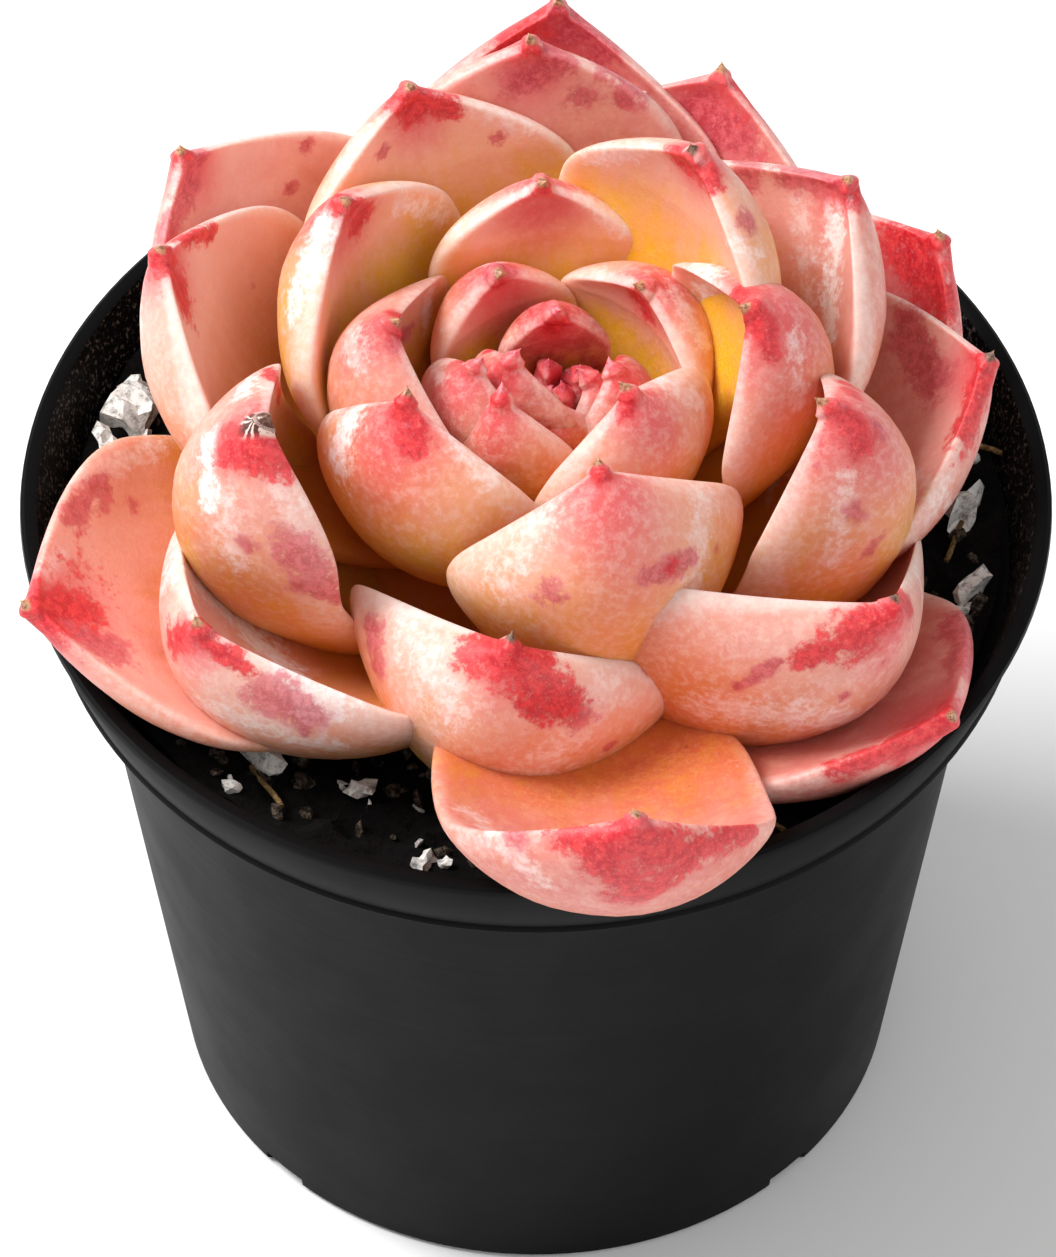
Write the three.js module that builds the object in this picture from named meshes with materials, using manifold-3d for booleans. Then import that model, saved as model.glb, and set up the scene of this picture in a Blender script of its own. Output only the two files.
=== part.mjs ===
// A potted echeveria: a black plastic nursery pot, the soil that fills it, and the plant, which is
// one short stem with thick, red-tipped leaves set around it in a rosette.
// Millimetres, +Z up. The origin is the centre of the pot's underside.

import * as THREE from 'three';
import { mergeVertices } from 'three/addons/utils/BufferGeometryUtils.js';
import Module from 'manifold-3d';

const wasm = await Module();
wasm.setup();

// Pot
const POT_HEIGHT = 75;
const LIP_RADIUS = 50;
const LIP_WIDTH = 2;            // flat ring on top of the rim
const LIP_ROUND = 0.4;
const RIM_DEPTH = 8.7;          // the rim's side leans inwards going down
const RIM_FOOT_RADIUS = 47.4;
const RIM_BEAD = 0.5;           // rounded lower edge of the rim
const WALL_TOP_RADIUS = 44;     // straight wall, just under the rim
const BASE_RADIUS = 35.7;
const BASE_ROUND = 0.6;
const WALL = 1.1;
const FLOOR = 1.6;
const POT_SIDES = 48;

// Drain slots: the floor and the foot of the wall are cut away at four corners
const SLOT_COUNT = 4;
const SLOT_WIDTH = 5;
const SLOT_DEPTH = 6;           // from the outside of the wall inwards
const SLOT_HEIGHT = 1.6;

// Soil
const SOIL_LEVEL = POT_HEIGHT - 5;
const SOIL_DISH = 5;            // how far the soil sinks towards the stem
const SOIL_RELIEF = 0.8;        // height of its lumps
const SOIL_RINGS = [0, 10, 18, 25, 31, 36, 41, 45.2];
const SOIL_SIDES = 36;
const GRAIN_COUNT = 8;          // perlite grains placed at random, besides those listed
const GRAIN_SMALL = 0.9;        // radius
const GRAIN_LARGE = 1.8;
// The grains that stand out: azimuth (degrees), distance from the axis, radius
const GRAINS = [
  [160, 42, 2.6],
  [156, 45, 1.8],
  [166, 45, 1.7],
  [3, 41.5, 2.4],
  [350, 44.5, 1.9],
  [229, 39, 1.9],
  [229, 44.3, 1.1],
  [256, 44, 1.3],
  [243, 36.5, 1.5],
];

// Stem, which leans a little to the back right as it rises
const STEM_FOOT = POT_HEIGHT - 28;
const STEM_FOOT_RADIUS = 2.6;
const STEM_RADIUS = 6.4;        // where the lowest leaves grow
const STEM_TOP_RADIUS = 2.4;
const STEM_SIDES = 14;

// Crown: the leaf bases climb the stem from the oldest leaf to the youngest
const CROWN_LOW = POT_HEIGHT - 4;
const CROWN_RISE = 12;
const CROWN_SHIFT = [2.5, 2.5];     // how far the crown's middle moves in X and Y while it rises
const CROWN_START = [0, -1];
const CROWN_TILT = 0.45;            // the rosette tips to the front, so bases at the back sit higher
const REACH_OLD = 8;                // distance of a leaf's base from the crown's middle
const REACH_YOUNG = 1.5;

// Leaf shape shared by all leaves
const BROADEST = 0.6;           // share of the length at which the blade is broadest
const NECK = 0.4;               // width of the base as a share of the blade's width
const UPPER_SHARE = 0.42;       // share of the thickness that lies above the mid surface
const BASE_BULGE = 0.4;         // how far the middle of the base stands out
const MIDRIB_STEPS = 24;        // steps in which the midrib's curve is followed
const MUCRO = 1.8;              // length of the small dry point at the tip
const MUCRO_RADIUS = 0.6;
const SMALL_LEAF = 17;          // leaves shorter than this are drawn with fewer facets
const LARGE_FACETS = { sides: 8, rings: 8 };
const SMALL_FACETS = { sides: 6, rings: 6 };

// One row for each leaf, from the oldest to the youngest:
// azimuth, pitch, curl, roll (degrees), length, width, thickness (mm), cup,
// drop, how far its base sits below the spiral (mm),
// blunt, from about 2 for a pointed end to 4 and more for a square one,
// and late, which is 1 where the leaf curls evenly and more where it curls near its tip
const LEAVES = [
  [87, 38, 118, 8, 51, 35, 7, 0.55, 0, 2.7, 1],
  [205, 18, 66, -13, 50, 36, 6.2, 0.33, -0.8, 2.3, 1],
  [279, 27, 105, -6, 64, 31.5, 6, 0.35, -3.8, 3.3, 2.9],
  [64, 33, 100, 2, 45, 34, 6, 0.4, 0, 2.7, 1],
  [28, 24, 110, 6, 47, 34, 6.5, 0.3, 0, 2.7, 1],
  [149, 40, 82, -6, 47, 36, 6, 0.3, 0, 2.5, 1],
  [320, 11, 90, -2, 49, 33, 6.2, 0.25, -1.8, 2.7, 1],
  [6, 25, 95, 4, 45, 33, 6.5, 0.4, 0, 2.7, 1],
  [172, 46, 90, 0, 48, 35, 7, 0.4, 0, 2.5, 1],
  [92, 48, 108, 5, 45, 32, 7, 0.15, 0, 2.7, 1],
  [222, 25, 120, -2, 50, 33, 7.5, 0.5, -0.5, 2.8, 1],
  [29, 45, 93, 7, 43, 33, 7.5, 0.5, 0, 2.7, 1],
  [319, 29, 122, -27, 52, 39, 6, 0.75, 1.5, 3, 1],
  [264, 40, 146, -10, 48, 33, 7.2, 0.68, 4, 4.4, 1],
  [117, 49, 95, 2, 41, 31, 7.5, 0.35, 0, 2.5, 1],
  [213, 55, 130, -22, 58, 24, 8, 0.7, 7, 5.5, 1],
  [38, 70, 90, 0, 41, 31, 6.5, 0.4, 0, 2.7, 1],
  [332, 54, 136, 14, 54, 24, 8.5, 0.7, 6, 3.2, 1],
  [153, 58, 112, -1, 39, 29, 7, 0.35, 0, 2.5, 1],
  [281, 57, 140, 6, 45, 29, 9, 0.5, 0, 2.3, 1],
  [222, 61, 120, 15, 36, 26, 6.5, 0.35, 0, 2.2, 1],
  [94, 62, 104, 3, 29, 22, 6.5, 0.3, 0, 2.5, 1],
  [348, 62, 144, 26, 43, 24, 6, 0.8, 1, 5.5, 1],
  [125, 71, 98, -2, 21, 16, 6, 0.35, 0, 2.3, 1],
  [192, 62, 134, -4, 34, 27, 5.5, 0.75, 0, 3, 1],
  [35, 68, 131, 7, 24.5, 20, 6.2, 0.45, 1, 3.9, 1],
  [299, 65, 92, 16, 29, 22, 7, 0.3, 0, 2.1, 1],
  [238, 68, 96, 14, 22, 14, 5.5, 0.25, 0, 1.8, 1],
  [215, 69, 96, 4, 22, 16, 6, 0.3, 0, 2.1, 1],
  [98, 86, 73, 2, 15, 11, 4.5, 0.35, 0, 2.1, 1],
  [223, 76, 60, 2, 18, 13, 5, 0.4, 0, 2.1, 1],
  [330, 74, 95, 8, 15, 11.5, 5, 0.4, 0, 2.1, 1],
  [336, 83, 100, 0, 10.5, 7.5, 4, 0.35, 0, 1.8, 1],
  [256, 68, 100, 4, 14, 10, 4.5, 0.35, 0, 1.8, 1],
];

// Heart: the youngest leaves, still closed together
const HEART_COUNT = 5;
const HEART_LENGTH = 7.5;
const HEART_WIDTH = 4.6;
const HEART_THICKNESS = 2.4;
const HEART_PITCH = 82;
const HEART_CURL = 40;
const HEART_CUP = 0.5;
const HEART_BLUNT = 2;

const TOUCH_GAP = 0.3;          // gap kept between pieces that touch
const FINENESS = 0.03;          // detail smaller than this is dropped from a hollowed leaf
const SPIRAL_ANGLE = 137.5;
const DEGREE = Math.PI / 180;

const blackPlastic = { color: 0x2b2b2d, roughness: 0.55, metalness: 0 };
const darkSoil = { color: 0x15110e, roughness: 0.95, metalness: 0 };
const greenStem = { color: 0xb8a06a, roughness: 0.6, metalness: 0 };
const outerLeaf = { color: 0xe39a8d, roughness: 0.45, metalness: 0 };
const middleLeaf = { color: 0xf0b49c, roughness: 0.45, metalness: 0 };
const innerLeaf = { color: 0xe08a6a, roughness: 0.45, metalness: 0 };
const heartLeaf = { color: 0xa8382e, roughness: 0.5, metalness: 0 };

// Random numbers from 0 to 1 that are the same on every run
function makeRandom(seed) {
  let state = seed;
  return () => {
    state = (Math.imul(state, 1664525) + 1013904223) >>> 0;
    return state / 4294967296;
  };
}

// A closed solid from a geometry, swollen by "grow" all round
function toSolid(geometry, grow = 0) {
  const bare = geometry.clone();
  bare.deleteAttribute('normal');
  bare.deleteAttribute('uv');
  const merged = mergeVertices(bare, 1e-4);
  merged.computeVertexNormals();
  const { position, normal } = merged.attributes;
  for (let i = 0; i < position.count; i += 1) {
    const point = new THREE.Vector3().fromBufferAttribute(position, i);
    const outward = new THREE.Vector3().fromBufferAttribute(normal, i);
    point.addScaledVector(outward, grow);
    position.setXYZ(i, point.x, point.y, point.z);
  }
  return new wasm.Manifold(new wasm.Mesh({
    numProp: 3,
    vertProperties: Float32Array.from(position.array),
    triVerts: Uint32Array.from(merged.index.array),
  }));
}

function toMesh(name, solid, look) {
  const { vertProperties, triVerts } = solid.getMesh();
  const geometry = new THREE.BufferGeometry();
  geometry.setAttribute('position', new THREE.BufferAttribute(vertProperties, 3));
  geometry.setIndex(new THREE.BufferAttribute(triVerts, 1));
  geometry.computeVertexNormals();
  const mesh = new THREE.Mesh(geometry, new THREE.MeshStandardMaterial(look));
  mesh.name = name;
  return mesh;
}

// A cut can leave a scrap behind, so only the largest body is kept
function largestBody(solid) {
  return solid.decompose().reduce((best, body) => (body.volume() > best.volume() ? body : best));
}

// A solid of revolution around +Z, from [radius, height] pairs that start and end on the axis
function turned(profile, sides) {
  const points = profile.map(([radius, height]) => new THREE.Vector2(radius, height));
  return new THREE.LatheGeometry(points, sides).rotateX(Math.PI / 2);
}

// Radius of the pot's straight outer wall at a height
function wallRadius(height) {
  const top = POT_HEIGHT - RIM_DEPTH;
  return BASE_RADIUS + (WALL_TOP_RADIUS - BASE_RADIUS) * height / top;
}

function makePot() {
  const rimFoot = POT_HEIGHT - RIM_DEPTH;
  const innerLip = LIP_RADIUS - LIP_WIDTH;
  const innerRim = RIM_FOOT_RADIUS - WALL - 0.4;
  const ledge = rimFoot + WALL;
  const pot = toSolid(turned([
    [0, 0],
    [BASE_RADIUS - BASE_ROUND, 0],
    [wallRadius(BASE_ROUND), BASE_ROUND],
    [wallRadius(rimFoot - RIM_BEAD), rimFoot - RIM_BEAD],
    [RIM_FOOT_RADIUS - RIM_BEAD, rimFoot - RIM_BEAD],
    [RIM_FOOT_RADIUS, rimFoot],
    [LIP_RADIUS, POT_HEIGHT - LIP_ROUND],
    [LIP_RADIUS - LIP_ROUND, POT_HEIGHT],
    [innerLip + LIP_ROUND, POT_HEIGHT],
    [innerLip, POT_HEIGHT - LIP_ROUND],
    [innerRim, ledge],
    [wallRadius(ledge) - WALL, ledge],
    [wallRadius(FLOOR) - WALL, FLOOR],
    [0, FLOOR],
  ], POT_SIDES));
  let cut = pot;
  for (let corner = 0; corner < SLOT_COUNT; corner += 1) {
    const slot = new THREE.BoxGeometry(2 * SLOT_DEPTH, SLOT_WIDTH, 2 * SLOT_HEIGHT);
    slot.translate(BASE_RADIUS, 0, 0);
    slot.rotateZ((corner + 0.5) * 2 * Math.PI / SLOT_COUNT);
    cut = cut.subtract(toSolid(slot));
  }
  return cut;
}

function soilHeight(x, y) {
  const reach = Math.hypot(x, y) / SOIL_RINGS.at(-1);
  const lumps = Math.sin(0.55 * x + 1.1) * Math.cos(0.47 * y - 0.4)
    + 0.6 * Math.sin(0.93 * y + 0.31 * x)
    + 0.5 * Math.cos(1.21 * x - 0.77 * y + 2);
  return SOIL_LEVEL - SOIL_DISH * (1 - reach ** 2) + 0.5 * SOIL_RELIEF * lumps;
}

function makeSoil() {
  const rimFoot = POT_HEIGHT - RIM_DEPTH;
  const ledge = rimFoot + WALL + TOUCH_GAP;
  const side = (height) => wallRadius(height) - WALL - TOUCH_GAP;
  const floor = FLOOR + TOUCH_GAP;
  const edge = SOIL_RINGS.at(-1);
  const top = SOIL_RINGS.slice().reverse().map((radius) => [radius, SOIL_LEVEL]);
  const body = turned([
    [0, floor],
    [side(floor), floor],
    [side(ledge), ledge],
    [edge - 0.4, ledge],
    ...top,
  ], SOIL_SIDES);
  const position = body.attributes.position;
  for (let i = 0; i < position.count; i += 1) {
    if (position.getZ(i) > SOIL_LEVEL - 0.01) {
      position.setZ(i, soilHeight(position.getX(i), position.getY(i)));
    }
  }
  let soil = toSolid(body);
  for (const grain of placeGrains()) {
    soil = soil.add(toSolid(grain));
  }
  return soil;
}

// Perlite grains stand about halfway out of the soil
function placeGrains() {
  const random = makeRandom(7);
  const grains = GRAINS.slice();
  for (let i = 0; i < GRAIN_COUNT; i += 1) {
    const size = GRAIN_SMALL + (GRAIN_LARGE - GRAIN_SMALL) * random();
    grains.push([360 * random(), 30 + 13 * random(), size]);
  }
  return grains.map(([azimuth, distance, size]) => {
    const reach = Math.min(distance, SOIL_RINGS.at(-1) - size);
    const x = reach * Math.cos(azimuth * DEGREE);
    const y = reach * Math.sin(azimuth * DEGREE);
    const grain = new THREE.IcosahedronGeometry(size, 0);
    grain.rotateX(6 * random());
    grain.rotateZ(6 * random());
    return grain.translate(x, y, soilHeight(x, y) + 0.15 * size);
  });
}

// Middle of the crown, at a share of the way from the oldest leaf to the youngest
function crownMiddle(share) {
  return new THREE.Vector3(
    CROWN_START[0] + CROWN_SHIFT[0] * share,
    CROWN_START[1] + CROWN_SHIFT[1] * share,
    CROWN_LOW + CROWN_RISE * share ** 1.5,
  );
}

function makeStem(grow = 0) {
  const top = CROWN_LOW + CROWN_RISE;
  const stem = turned([
    [0, STEM_FOOT],
    [STEM_FOOT_RADIUS, STEM_FOOT],
    [STEM_RADIUS - 1, CROWN_LOW - 9],
    [STEM_RADIUS, CROWN_LOW - 3],
    [STEM_RADIUS, CROWN_LOW + 1],
    [STEM_TOP_RADIUS, top - 0.5],
    [STEM_TOP_RADIUS / 2, top],
    [0, top],
  ], STEM_SIDES);
  const position = stem.attributes.position;
  for (let i = 0; i < position.count; i += 1) {
    const share = THREE.MathUtils.clamp((position.getZ(i) - CROWN_LOW) / CROWN_RISE, 0, 1);
    const middle = crownMiddle(share);
    position.setX(i, position.getX(i) + middle.x);
    position.setY(i, position.getY(i) + middle.y);
  }
  return toSolid(stem, grow);
}

function leafWidth(share, blunt) {
  if (share < BROADEST) {
    return NECK + (1 - NECK) * Math.sin(0.5 * Math.PI * share / BROADEST) ** 1.15;
  }
  return (1 - ((share - BROADEST) / (1 - BROADEST)) ** blunt) ** 0.95;
}

function leafThickness(share) {
  const body = 0.75 + 0.25 * Math.sin(Math.PI * share);
  return body * Math.sqrt(Math.min(1, (1 - share) / 0.22));
}

function power(value, exponent) {
  return Math.sign(value) * Math.abs(value) ** exponent;
}

// A leaf is a ball drawn out along a curve, the midrib. Each ring of the ball becomes a cross-section:
// as wide as the blade is there, hollowed above by the cup and rounded below. The last ring is the
// root of the mucro, and the ball's far pole is its point.
function makeLeaf(leaf, base, grow = 0) {
  const azimuth = leaf.azimuth * DEGREE;
  const outward = new THREE.Vector3(Math.cos(azimuth), Math.sin(azimuth), 0);
  const across = new THREE.Vector3(-Math.sin(azimuth), Math.cos(azimuth), 0);

  function slope(share) {
    return (leaf.pitch + leaf.curl * (share ** leaf.late - 1 / (leaf.late + 1))) * DEGREE;
  }

  function midrib(share) {
    const angle = slope(share);
    let out = 0;
    let up = 0;
    for (let i = 0; i < MIDRIB_STEPS; i += 1) {
      const heading = slope(share * (i + 0.5) / MIDRIB_STEPS);
      out += Math.cos(heading) * leaf.length * share / MIDRIB_STEPS;
      up += Math.sin(heading) * leaf.length * share / MIDRIB_STEPS;
    }
    return {
      centre: outward.clone().multiplyScalar(out).setZ(up),
      along: outward.clone().multiplyScalar(Math.cos(angle)).setZ(Math.sin(angle)),
      upper: outward.clone().multiplyScalar(-Math.sin(angle)).setZ(Math.cos(angle)),
    };
  }

  const chord = midrib(1).centre.normalize();
  const { sides, rings } = leaf.length < SMALL_LEAF ? SMALL_FACETS : LARGE_FACETS;
  const ball = new THREE.SphereGeometry(1, sides, rings + 1);
  const position = ball.attributes.position;
  for (let i = 0; i < position.count; i += 1) {
    const ring = Math.floor(i / (sides + 1));
    const turn = 2 * Math.PI * (i % (sides + 1)) / sides;
    const step = THREE.MathUtils.clamp((ring - 1) / (rings - 1), 0, 1);
    const share = 1 - (1 - step) ** 1.35;
    const { centre, along, upper } = midrib(share);
    const point = centre.clone();
    if (ring === 0) {
      point.addScaledVector(along, -BASE_BULGE);
    } else if (ring > rings) {
      point.addScaledVector(along, MUCRO);
    } else {
      const halfWidth = Math.max(leafWidth(share, leaf.blunt) * leaf.width / 2, MUCRO_RADIUS);
      const thickness = Math.max(leafThickness(share) * leaf.thickness, 2 * MUCRO_RADIUS);
      const side = power(-Math.cos(turn), 0.85);
      const face = power(Math.sin(turn), 0.9);
      const cup = leaf.cup * THREE.MathUtils.clamp((share - 0.05) / 0.4, 0, 1);
      const lift = cup * halfWidth * side ** 2
        + face * thickness * (face > 0 ? UPPER_SHARE : 1 - UPPER_SHARE);
      point.addScaledVector(across, side * halfWidth).addScaledVector(upper, lift);
    }
    point.applyAxisAngle(chord, leaf.roll * DEGREE).add(base);
    position.setXYZ(i, point.x, point.y, point.z);
  }
  return toSolid(ball, grow);
}

// Where a leaf's base sits on the crown
function leafBase(azimuth, share) {
  const reach = REACH_OLD + (REACH_YOUNG - REACH_OLD) * share;
  const base = crownMiddle(share);
  base.x += reach * Math.cos(azimuth * DEGREE);
  base.y += reach * Math.sin(azimuth * DEGREE);
  base.z += CROWN_TILT * reach * Math.sin(azimuth * DEGREE);
  return base;
}

function makeHeart(grow = 0) {
  const base = crownMiddle(1).add(new THREE.Vector3(0, 0, TOUCH_GAP));
  let heart = null;
  for (let i = 0; i < HEART_COUNT; i += 1) {
    const scale = 1 - 0.08 * i;
    const leaf = {
      azimuth: SPIRAL_ANGLE * i,
      pitch: HEART_PITCH,
      curl: HEART_CURL,
      roll: 0,
      length: HEART_LENGTH * scale,
      width: HEART_WIDTH * scale,
      thickness: HEART_THICKNESS,
      cup: HEART_CUP,
      blunt: HEART_BLUNT,
      late: 1,
    };
    const outward = new THREE.Vector3(Math.cos(leaf.azimuth * DEGREE), Math.sin(leaf.azimuth * DEGREE), 0);
    const solid = makeLeaf(leaf, base.clone().addScaledVector(outward, 0.8), grow);
    heart = heart ? heart.add(solid) : solid;
  }
  return heart;
}

// The room that the pot's rim takes up
function rimRoom() {
  const inside = RIM_FOOT_RADIUS - WALL - 1;
  const foot = POT_HEIGHT - RIM_DEPTH;
  return toSolid(turned([
    [inside, foot],
    [LIP_RADIUS + TOUCH_GAP, foot],
    [LIP_RADIUS + TOUCH_GAP, POT_HEIGHT + TOUCH_GAP],
    [LIP_RADIUS - LIP_WIDTH - TOUCH_GAP, POT_HEIGHT + TOUCH_GAP],
    [inside, foot],
  ], POT_SIDES));
}

// The plant is put together from the heart outwards, and each older leaf is hollowed where the
// younger ones press into it. The soil comes last, pressed in by the leaves that lie on it.
function addPlant(group) {
  const stem = makeStem();
  const stemRoom = makeStem(TOUCH_GAP);
  group.add(toMesh('stem', stem, greenStem));
  group.add(toMesh('heart', largestBody(makeHeart().subtract(stemRoom)), heartLeaf));
  const rim = rimRoom();
  let taken = stemRoom.add(makeHeart(TOUCH_GAP));
  const last = LEAVES.length - 1;
  for (let i = last; i >= 0; i -= 1) {
    const [azimuth, pitch, curl, roll, length, width, thickness, cup, drop, blunt, late] = LEAVES[i];
    const leaf = { azimuth, pitch, curl, roll, length, width, thickness, cup, blunt, late };
    const base = leafBase(azimuth, i / last);
    base.z -= drop;
    const whole = makeLeaf(leaf, base);
    const solid = largestBody(whole.subtract(taken).subtract(rim).simplify(FINENESS));
    taken = taken.add(makeLeaf(leaf, base, TOUCH_GAP)).add(whole);
    const look = i < 13 ? outerLeaf : i < 27 ? middleLeaf : innerLeaf;
    group.add(toMesh(`leaf_${String(i + 1).padStart(2, '0')}`, solid, look));
  }
  const soil = largestBody(makeSoil().subtract(taken).simplify(FINENESS));
  group.add(toMesh('soil', soil, darkSoil));
}

const plantPot = new THREE.Group();
plantPot.name = 'potted_echeveria';
plantPot.add(toMesh('pot', makePot(), blackPlastic));
addPlant(plantPot);

export default plantPot;
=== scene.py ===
"""A potted echeveria: a black plastic nursery pot, the soil in it, and a rosette of thick,
cupped leaves that are flushed pink and tipped with red. Metres, +Z up, in the CAD frame."""

import math
from collections import namedtuple

import bpy
import numpy as np
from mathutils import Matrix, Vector, noise
from mathutils.bvhtree import BVHTree


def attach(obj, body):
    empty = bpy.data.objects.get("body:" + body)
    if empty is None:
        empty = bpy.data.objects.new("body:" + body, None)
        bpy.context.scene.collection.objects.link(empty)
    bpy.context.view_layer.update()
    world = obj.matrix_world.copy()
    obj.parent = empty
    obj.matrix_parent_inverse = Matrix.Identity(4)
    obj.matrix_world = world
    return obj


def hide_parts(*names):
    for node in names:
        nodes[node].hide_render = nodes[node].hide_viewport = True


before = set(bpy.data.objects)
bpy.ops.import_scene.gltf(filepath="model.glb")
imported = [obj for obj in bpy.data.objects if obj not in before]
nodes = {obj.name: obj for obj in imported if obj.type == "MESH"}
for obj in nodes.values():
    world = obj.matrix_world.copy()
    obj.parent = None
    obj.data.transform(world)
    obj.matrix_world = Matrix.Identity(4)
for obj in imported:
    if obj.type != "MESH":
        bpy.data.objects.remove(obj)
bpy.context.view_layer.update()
MM = 0.001


# The view of the photograph. The camera looks down at the plant from the front, so far away that
# the round pot keeps nearly parallel sides. PHOTO is the size of the picture in pixels.
PHOTO = (1056, 1257)
DISTANCE = 1.0
ELEVATION = math.radians(49.3)
AIM = Vector((0, 0, 54.9 * MM))
FOCAL = 10200                       # in pixels of the photograph
PLANT_COLUMN = 536                  # the pot's axis stands a little right of the middle
ahead = Vector((0, math.cos(ELEVATION), -math.sin(ELEVATION)))
right = Vector((1, 0, 0))
upward = right.cross(ahead)
eye = AIM - DISTANCE * ahead

bpy.ops.object.select_all(action="DESELECT")
bpy.ops.object.camera_add(location=eye)
camera = bpy.context.object
camera.name = "camera"
camera.rotation_euler = ahead.to_track_quat("-Z", "Y").to_euler()
camera.data.sensor_width = 36
camera.data.lens = FOCAL * 36 / PHOTO[1]
camera.data.shift_x = (PHOTO[0] / 2 - PLANT_COLUMN) / PHOTO[1]
camera.data.clip_start = 0.01
bpy.context.scene.camera = camera


def sight(column, row):
    """Direction in which the camera sees a pixel of the photograph."""
    line = ahead * FOCAL + right * (column - PLANT_COLUMN) + upward * (PHOTO[1] / 2 - row)
    return line.normalized()


# The pot. Thin black polypropylene, injection moulded in one piece: a tapered wall, a deeper rim
# that leans outwards and ends in a flat lip, and four drain slots where the wall meets the floor.
LIP_Z = 75
POT_PROFILE = [                     # radius and height of each ring, from the foot over the lip
    (35.7, 0.6), (44.0, 65.3), (44.1, 65.8), (46.9, 65.8), (47.4, 66.0), (47.6, 66.3),
    (47.55, 66.65), (47.4, 66.9), (49.85, 74.2), (49.75, 74.75), (49.4, 75.0), (48.5, 75.0),
    (48.15, 74.8), (48.0, 74.4), (45.95, 67.6), (43.1, 67.4), (34.8, 1.6),
]
POT_SIDES = 144
FOOT_ROUND = 0.6                    # the flat underside ends this far inside the first ring
FLOOR_INSET = 4
POT_CREASE = 32                     # degrees past which an edge stays sharp
SLOT_SIZE = (12, 5, 3.2)            # outwards, sideways and up; the lower half is under the pot
SLOT_RADIUS = 35.7
SLOT_ANGLES = (45, 135, 225, 315)


def deselect():
    if bpy.context.object and bpy.context.object.mode == "EDIT":
        bpy.ops.object.mode_set(mode="OBJECT")
    bpy.ops.object.select_all(action="DESELECT")


def settle(piece):
    """Puts a piece's place into its mesh, and turns its faces outwards."""
    deselect()
    piece.select_set(True)
    bpy.context.view_layer.objects.active = piece
    bpy.ops.object.transform_apply(location=True, rotation=True, scale=True)
    bpy.ops.object.mode_set(mode="EDIT")
    bpy.ops.mesh.select_all(action="SELECT")
    bpy.ops.mesh.remove_doubles(threshold=1e-6)
    bpy.ops.mesh.normals_make_consistent(inside=False)
    bpy.ops.object.mode_set(mode="OBJECT")


def finish_piece(piece, name, material, replaced=()):
    """Names a piece, gives it its finish, and says what it stands for."""
    piece.name = name
    piece.data.name = name
    piece.data.materials.clear()
    piece.data.materials.append(material)
    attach(piece, "root")
    if replaced:
        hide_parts(*replaced)


def tint(code):
    """A linear colour from a screen colour such as "e8a090"."""
    values = [int(code[i:i + 2], 16) / 255 for i in (0, 2, 4)]
    return [v / 12.92 if v <= 0.04045 else ((v + 0.055) / 1.055) ** 2.4 for v in values] + [1]


class Finish:
    """A material, with short calls that add the nodes that the finishes of this plant use."""

    def __init__(self, name):
        self.material = bpy.data.materials.new(name)
        self.material.use_nodes = True
        self.tree = self.material.node_tree
        self.shader = self.tree.nodes["Principled BSDF"]
        self.place = self.node("ShaderNodeTexCoord").outputs["Object"]

    def node(self, kind, inputs=None, **settings):
        node = self.tree.nodes.new(kind)
        for key, value in settings.items():
            setattr(node, key, value)
        for key, value in (inputs or {}).items():
            self.give(node.inputs[key], value)
        return node

    def give(self, socket, value):
        if isinstance(value, bpy.types.NodeSocket):
            self.tree.links.new(value, socket)
        else:
            socket.default_value = value

    def set(self, **values):
        """Gives the shader's inputs, whose names are written small and with underscores."""
        for key, value in values.items():
            self.give(self.shader.inputs[key.replace("_", " ").title()], value)

    def noise(self, size, detail=3, rough=0.55, place=None):
        """Grain whose lumps are "size" millimetres across."""
        inputs = {"Vector": place or self.place, "Scale": 1 / (size * MM), "Detail": detail,
                  "Roughness": rough}
        return self.node("ShaderNodeTexNoise", inputs).outputs["Fac"]

    def attribute(self, name):
        return self.node("ShaderNodeAttribute", attribute_name=name).outputs["Fac"]

    def calculate(self, operation, a, b=0.0):
        return self.node("ShaderNodeMath", {0: a, 1: b}, operation=operation).outputs[0]

    def times(self, a, b):
        return self.calculate("MULTIPLY", a, b)

    def ramp(self, value, low, high, start=0.0, end=1.0):
        """start where value is at low, end where it is at high, eased between them."""
        inputs = {"Value": value, "From Min": low, "From Max": high, "To Min": start, "To Max": end}
        return self.node("ShaderNodeMapRange", inputs, interpolation_type="SMOOTHSTEP").outputs[0]

    def mix(self, share, a, b):
        return self.node("ShaderNodeMix", {0: share, 6: a, 7: b}, data_type="RGBA").outputs[2]

    def bump(self, height, depth, strength=1.0, below=None):
        """Relief of a height from 0 to 1 that stands "depth" millimetres high."""
        inputs = {"Height": height, "Distance": depth * MM, "Strength": strength}
        if below is not None:
            inputs["Normal"] = below
        return self.node("ShaderNodeBump", inputs).outputs[0]


def pot_finish():
    finish = Finish("pot_plastic")
    mottle = finish.noise(9, 4)
    grain = finish.noise(0.35, 2)
    height = finish.node("ShaderNodeSeparateXYZ", {0: finish.place}).outputs["Z"]
    facing = finish.node("ShaderNodeNewGeometry").outputs["Normal"]
    outwards = finish.node("ShaderNodeVectorMath", {0: finish.place, 1: facing}, operation="DOT_PRODUCT")
    inside = finish.ramp(outwards.outputs["Value"], -4 * MM, -20 * MM)
    speck = finish.ramp(finish.noise(0.45, 3, 0.6), 0.53, 0.68)
    dust = finish.times(speck, finish.times(inside, 0.6))
    shade = finish.mix(mottle, tint("080809"), tint("0d0d0e"))
    finish.set(base_color=finish.mix(dust, shade, tint("8a857e")))
    finish.set(roughness=finish.ramp(mottle, 0.3, 0.7, 0.46, 0.52))
    rings = finish.noise(1.6, 1, place=finish.node("ShaderNodeCombineXYZ", {2: height}).outputs[0])
    relief = finish.bump(rings, 0.02)
    finish.set(normal=finish.bump(grain, 0.02, 0.5, relief))
    finish.shader.inputs["Specular IOR Level"].default_value = 0.06
    return finish.material


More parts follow.
